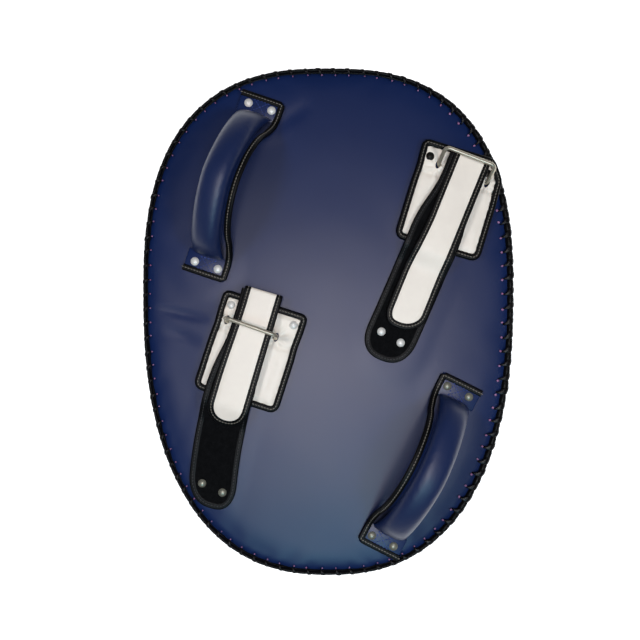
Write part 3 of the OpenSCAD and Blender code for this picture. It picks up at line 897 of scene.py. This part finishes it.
def buckle_height(x, y, bar_y):
    """Height of a buckle pad's face: a roll over the ring's bar, a valley below it, and pulled creases."""
    roll = 1.4 * math.exp(-((y - bar_y) / 3.4) ** 2) * ease((36 - abs(x)) / 4)
    valley = -2.0 * math.exp(-((y - bar_y + 8.5) / 3.0) ** 2)
    ripple = 0.7 * noise.noise(Vector((x / 13, y / 26, 3.0)))
    ripple += 0.25 * noise.noise(Vector((x / 5, y / 9, 1.0)))
    creases = 0
    for leg_x in (-31, 31):
        away = Vector((x - leg_x, y - bar_y - 1, 0))
        rays = math.sin(7 * math.atan2(away.y, away.x) + leg_x)
        creases += 1.1 * rays * math.exp(-((away.length - 9) / 6) ** 2)
    return roll + valley + ripple + creases


def buckle_pad(side_name, parts):
    """White leather over a thin foam, bound all round, with a crease where it holds the ring's bar."""
    place = parts["buckle"]
    bar = spot(place).inverted() @ spot(parts["hinge"]) @ Vector((0, 0, 0))
    edge = [pinch(co, bar.y) for co in buckle_edge(place, BINDING_W - 1.5)]
    edge.append(edge[0])
    rows = []
    top = BUCKLE_TOP
    for share, z in ((0.02, 90.4), (0.5, 90.4), (0.99, 90.4), (1.0, 93), (0.99, top - 0.8), (0.9, top - 0.2),
                     (0.5, top), (0.02, top)):
        rows.append([Vector((co.x * share, co.y * share, z)) for co in edge])
    face = lay(skin(f"{side_name}_buckle_face", rows), place)
    stuff(face, voxel=0.003, cap=0.0012, pinned=lambda at: at.z < 92)
    back = spot(place).inverted()

    def shape(co):
        at = back @ co
        if at.z > 94:
            at.z = min(at.z, BUCKLE_TOP + 0.2) + buckle_height(at.x - bar.x, at.y, bar.y)
        return spot(place) @ at

    move_points(face, shape)
    cut_leg_holes(face, side_name, parts["hinge"])
    stands_for = (f"{side_name}_buckle_pad", f"{side_name}_buckle_foam", f"{side_name}_ring_keeper")
    dress(face, WHITE, replaces=stands_for)
    up = Vector((0, 0, 1))
    line = [(pinch(co, bar.y) + Vector((0, 0, 93.9)), up) for co in buckle_edge(place, BINDING_W / 2)]
    section = binding_section(BINDING_W, -3.9, 3.9)
    binding = strip(f"{side_name}_buckle_edge_binding", line, section, place, pitch=2.5, closed=True)
    dress(binding, BINDING, replaces=(f"{side_name}_buckle_binding",))
    sew(f"{side_name}_buckle_stitching", line + line[:1], 3.6, place)
    paint(f"{side_name}_buckle_rivets", CAPS[parts["buckle_caps"]])


def cut_leg_holes(face, side_name, hinge):
    """Two short slots that the ring's legs come up through."""
    for leg_x in (-LEG_X, LEG_X):
        bpy.ops.object.select_all(action="DESELECT")
        bpy.ops.mesh.primitive_cylinder_add(vertices=24, radius=1, depth=2)
        cutter = bpy.context.object
        cutter.data.transform(Matrix.Translation((leg_x, 2.0, 96)) @ Matrix.Diagonal((3.0, 5.6, 7, 1)))
        lay(cutter, hinge)
        modify(face, "BOOLEAN", object=cutter, operation="DIFFERENCE", solver="EXACT")
        bpy.data.objects.remove(cutter)


# ---------- arm straps ----------

def lie(y):
    """Height of the strap's underside: on the buckle pad, then eased down to the back panel."""
    return STRAP_Z - (STRAP_Z - BACK_Z) * ease((-y - RAMP_START) / RAMP_LENGTH)


def lean_up(y):
    """The direction square to the strap at a place along it."""
    slope = lie(y + 0.5) - lie(y - 0.5)
    return Vector((0, -slope, 1)).normalized()


def under_half(parts, y):
    """Half the riveted layer's width."""
    return STRAP_W / 2 + (parts["anchor_width"] - STRAP_W) / 2 * ease((-y - 15) / 65)


def under_shift(parts, y):
    """Sideways shift of the riveted layer, which is anchored a little askew."""
    return parts["bend"] * (max(0, -y - 80) / 110) ** 2 - 4 * ease(-y / 60)


def under_edge(parts, inset, height):
    """The edge of the riveted layer: down one side, round the anchored end, and up the other side."""
    top, low = parts["fold"] - TURN_R, -(parts["end"] - ANCHOR_ROUND)
    side = [top + (low - top) * i / 60 for i in range(61)]
    line = [(-(under_half(parts, y) - inset), y) for y in side]
    wide = parts["anchor_width"] / 2 - inset
    for i in range(1, 24):
        a = math.pi * i / 24
        x = -wide * power(math.cos(a), 0.75)
        line.append((x, low - (ANCHOR_ROUND - inset) * math.sin(a) ** 0.95))
    line += [(under_half(parts, y) - inset, y) for y in reversed(side)]
    return [(Vector((x + under_shift(parts, y), y, lie(y) + height)), lean_up(y)) for x, y in line]


def under_sheet(name, parts, top, inset, low, high):
    """A flat layer of the riveted part of the strap, from near the fold to the anchored end."""
    straight = -(parts["end"] - ANCHOR_ROUND)
    sides = [top + (straight - top) * i / 60 for i in range(61)]
    stations = [(y, under_half(parts, y) - inset) for y in sides]
    for i in range(1, 13):
        a = math.pi / 2 * i / 12
        half = max(0.3, (parts["anchor_width"] / 2 - inset) * math.cos(a) ** 0.75)
        stations.append((straight - (ANCHOR_ROUND - inset) * math.sin(a) ** 0.95, half))
    rows = []
    for y, half in stations:
        section = slab_section(-half, half, low, high, min(0.5, half / 3))
        up = lean_up(y)
        base = Vector((under_shift(parts, y), y, lie(y)))
        rows.append([base + Vector((s, 0, 0)) + up * h for s, h in section])
    return lay(skin(name, rows), parts["strap"])


def riveted_layer(side_name, parts):
    """The lower layer: white leather with loop tape face up, bound, and riveted to the back panel."""
    top = parts["fold"] - TURN_R
    base = under_sheet(f"{side_name}_strap_leather", parts, top, BINDING_W - 2, 0.05, 2.0)
    dress(base, WHITE, replaces=(f"{side_name}_strap",))
    tape = under_sheet(f"{side_name}_strap_loop_tape_pile", parts, top - 2, BINDING_W - 3.5, 1.95, 3.3)
    dress(tape, LOOP_TAPE, replaces=(f"{side_name}_strap_loop_tape",))
    line = under_edge(parts, BINDING_W / 2, LAYER_T / 2)
    section = binding_section(BINDING_W, -1.6, 2.0)
    binding = strip(f"{side_name}_strap_edge_binding", line, section, parts["strap"], pitch=2.5)
    dress(binding, BINDING, replaces=(f"{side_name}_strap_binding",))
    sew(f"{side_name}_strap_stitching", line, 1.85, parts["strap"], BLACK_THREAD)
    paint(f"{side_name}_strap_rivets", CAPS[parts["strap_caps"]])


def tongue_stations(parts):
    """The outer face of the upper layer, from under the fold, round it, and along to the round tip."""
    centre_y, centre_z = parts["fold"] - TURN_R, STRAP_Z + TURN_R
    stations = []
    for i in range(13):
        a = math.radians(-85 + 175 * i / 12)
        up = Vector((0, math.cos(a), math.sin(a)))
        stations.append((centre_y + TURN_R * math.cos(a), centre_z + TURN_R * math.sin(a), up))
    low = -(parts["tip"] - TIP_ROUND)
    count = 70
    for i in range(1, count + 1):
        y = centre_y + (low - centre_y) * i / count
        stations.append((y, lie(y) + STRAP_T, lean_up(y)))
    return stations


def tongue_tip(parts, inset):
    """The round tip as (half width, y, sideways shift), from the straight sides to the end."""
    low = -(parts["tip"] - TIP_ROUND)
    tip = []
    for i in range(1, 13):
        a = math.pi / 2 * i / 12
        reach = math.sin(a) ** 0.85
        half = (STRAP_W / 2 - inset) * math.cos(a) ** 0.85
        tip.append((half, low - (TIP_ROUND - inset) * reach, parts["tip_skew"] * reach ** 2))
    return tip


def narrowing(parts, y):
    """How far the tongue's left edge is drawn in near the ring, so that the layer under it shows."""
    amount, full, none = parts["narrowing"]
    return amount * ease((y - none) / (full - none))


def tongue_sheet(name, parts, inset, low, high, from_turn=True):
    half = STRAP_W / 2 - inset
    stations = [(narrowing(parts, y) - half, half, y, z, up) for y, z, up in tongue_stations(parts)]
    if not from_turn:
        stations = [s for s in stations[13:] if s[2] < -PEEL_Y - PEEL_LENGTH]
    for tip_half, y, skew in tongue_tip(parts, inset):
        tip_half = max(0.3, tip_half)
        stations.append((skew - tip_half, skew + tip_half, y, lie(y) + STRAP_T, lean_up(y)))
    rows = []
    for left, right, y, z, up in stations:
        section = slab_section(left, right, low, high, min(0.5, (right - left) / 6))
        rows.append([Vector((s, y, z)) + up * h for s, h in section])
    return lay(skin(name, rows), parts["strap"])


def tongue_edge(parts, inset):
    """The edge of the upper layer: one side from under the fold, round the tip, and the other side back."""
    half = STRAP_W / 2 - inset
    side = tongue_stations(parts)
    left = [(Vector((narrowing(parts, y) - half, y, z)), up) for y, z, up in side]
    right = [(Vector((half, y, z)), up) for y, z, up in reversed(side)]
    arc = tongue_tip(parts, inset)
    round_left = [(Vector((skew - x, y, lie(y) + STRAP_T)), lean_up(y)) for x, y, skew in arc]
    round_right = [(Vector((skew + x, y, lie(y) + STRAP_T)), lean_up(y)) for x, y, skew in reversed(arc[:-1])]
    return left + round_left + round_right + right


def peel(piece):
    """Bakes the piece's placement into its mesh."""
    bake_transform(piece)


def tongue(side_name, parts):
    """The upper layer: folded back through the ring, white leather outside, hook tape inside, bound."""
    body = f"{side_name}_tongue"
    face = tongue_sheet(f"{side_name}_tongue_leather", parts, BINDING_W - 1, -2.0, 0.0)
    hooks = tongue_sheet(f"{side_name}_tongue_hooks", parts, BINDING_W - 1.5, -3.3, -2.0, from_turn=False)
    line = tongue_edge(parts, BINDING_W / 2)
    section = binding_section(BINDING_W, -3.3, 0.5)
    binding = strip(f"{side_name}_tongue_edge_binding", line, section, parts["strap"], pitch=2.0)
    thread_row = sew(f"{side_name}_tongue_stitching", line, 0.3, parts["strap"], body=None)
    made = ((face, WHITE, "white_leather", (body,)), (hooks, HOOK_TAPE, "hook_tape", (f"{body}_hook_tape",)),
            (binding, BINDING, "black_leather", (f"{body}_binding",)), (thread_row, GREY_THREAD, None, ()))
    for piece, material, slot, nodes in made:
        piece.data.materials.clear()
        piece.data.materials.append(material)
        peel(piece)
        label(nodes)


# ---------- floor and light ----------

def add_floor():
    bpy.ops.object.select_all(action="DESELECT")
    bpy.ops.mesh.primitive_plane_add(size=6)
    floor = bpy.context.object
    floor.name = "floor"
    floor.data.materials.append(paper_floor())


def add_light(name, at, towards, size, watts, colour=(1, 1, 1), mirrored=True):
    bpy.ops.object.light_add(type="AREA", location=at)
    light = bpy.context.object
    light.name = name
    light.data.shape = "RECTANGLE"
    light.data.size, light.data.size_y = size
    light.data.energy = watts
    light.data.color = colour
    light.rotation_euler = (Vector(towards) - Vector(at)).to_track_quat("-Z", "Y").to_euler()
    light.visible_glossy = mirrored


def light_studio():
    """Two windows overhead that make the leather's sheen, and a panel on each side that it doesn't mirror."""
    scene = bpy.context.scene
    scene.view_settings.view_transform = "Standard"
    world = bpy.data.worlds.new("studio_air")
    scene.world = world
    world.use_nodes = True
    air = world.node_tree.nodes["Background"]
    air.inputs["Color"].default_value = (0.85, 0.9, 1.0, 1)
    air.inputs["Strength"].default_value = 0.05
    add_light("overhead_window", (0.0, -0.15, 1.7), (0, -0.15, 0.09), (0.55, 0.65), 8.5, (1.0, 0.94, 0.98))
    add_light("lower_window", (0.06, -0.8, 1.5), (0, -0.2, 0.09), (0.5, 0.6), 4.2, (0.38, 0.82, 1.0))
    add_light("left_panel", (-1.15, 0.35, 1.7), (0, 0, 0.1), (0.45, 0.45), 15.5, mirrored=False)
    add_light("right_panel", (1.15, -0.35, 1.7), (0, 0, 0.1), (0.45, 0.45), 15.5, mirrored=False)


pad_cover()
front_piping()
seam_cord()
rim_lacing()
for name, parts in HANDLES.items():
    handle(name, parts)
for side_name, parts in SETS.items():
    buckle_pad(side_name, parts)
    riveted_layer(side_name, parts)
    tongue(side_name, parts)
    paint(f"{side_name}_ring", WIRE)
paint("strike_foam", DENSE_FOAM)
paint("core_foam", SOFT_FOAM)
paint("backing_foam", DENSE_FOAM)
add_floor()
light_studio()
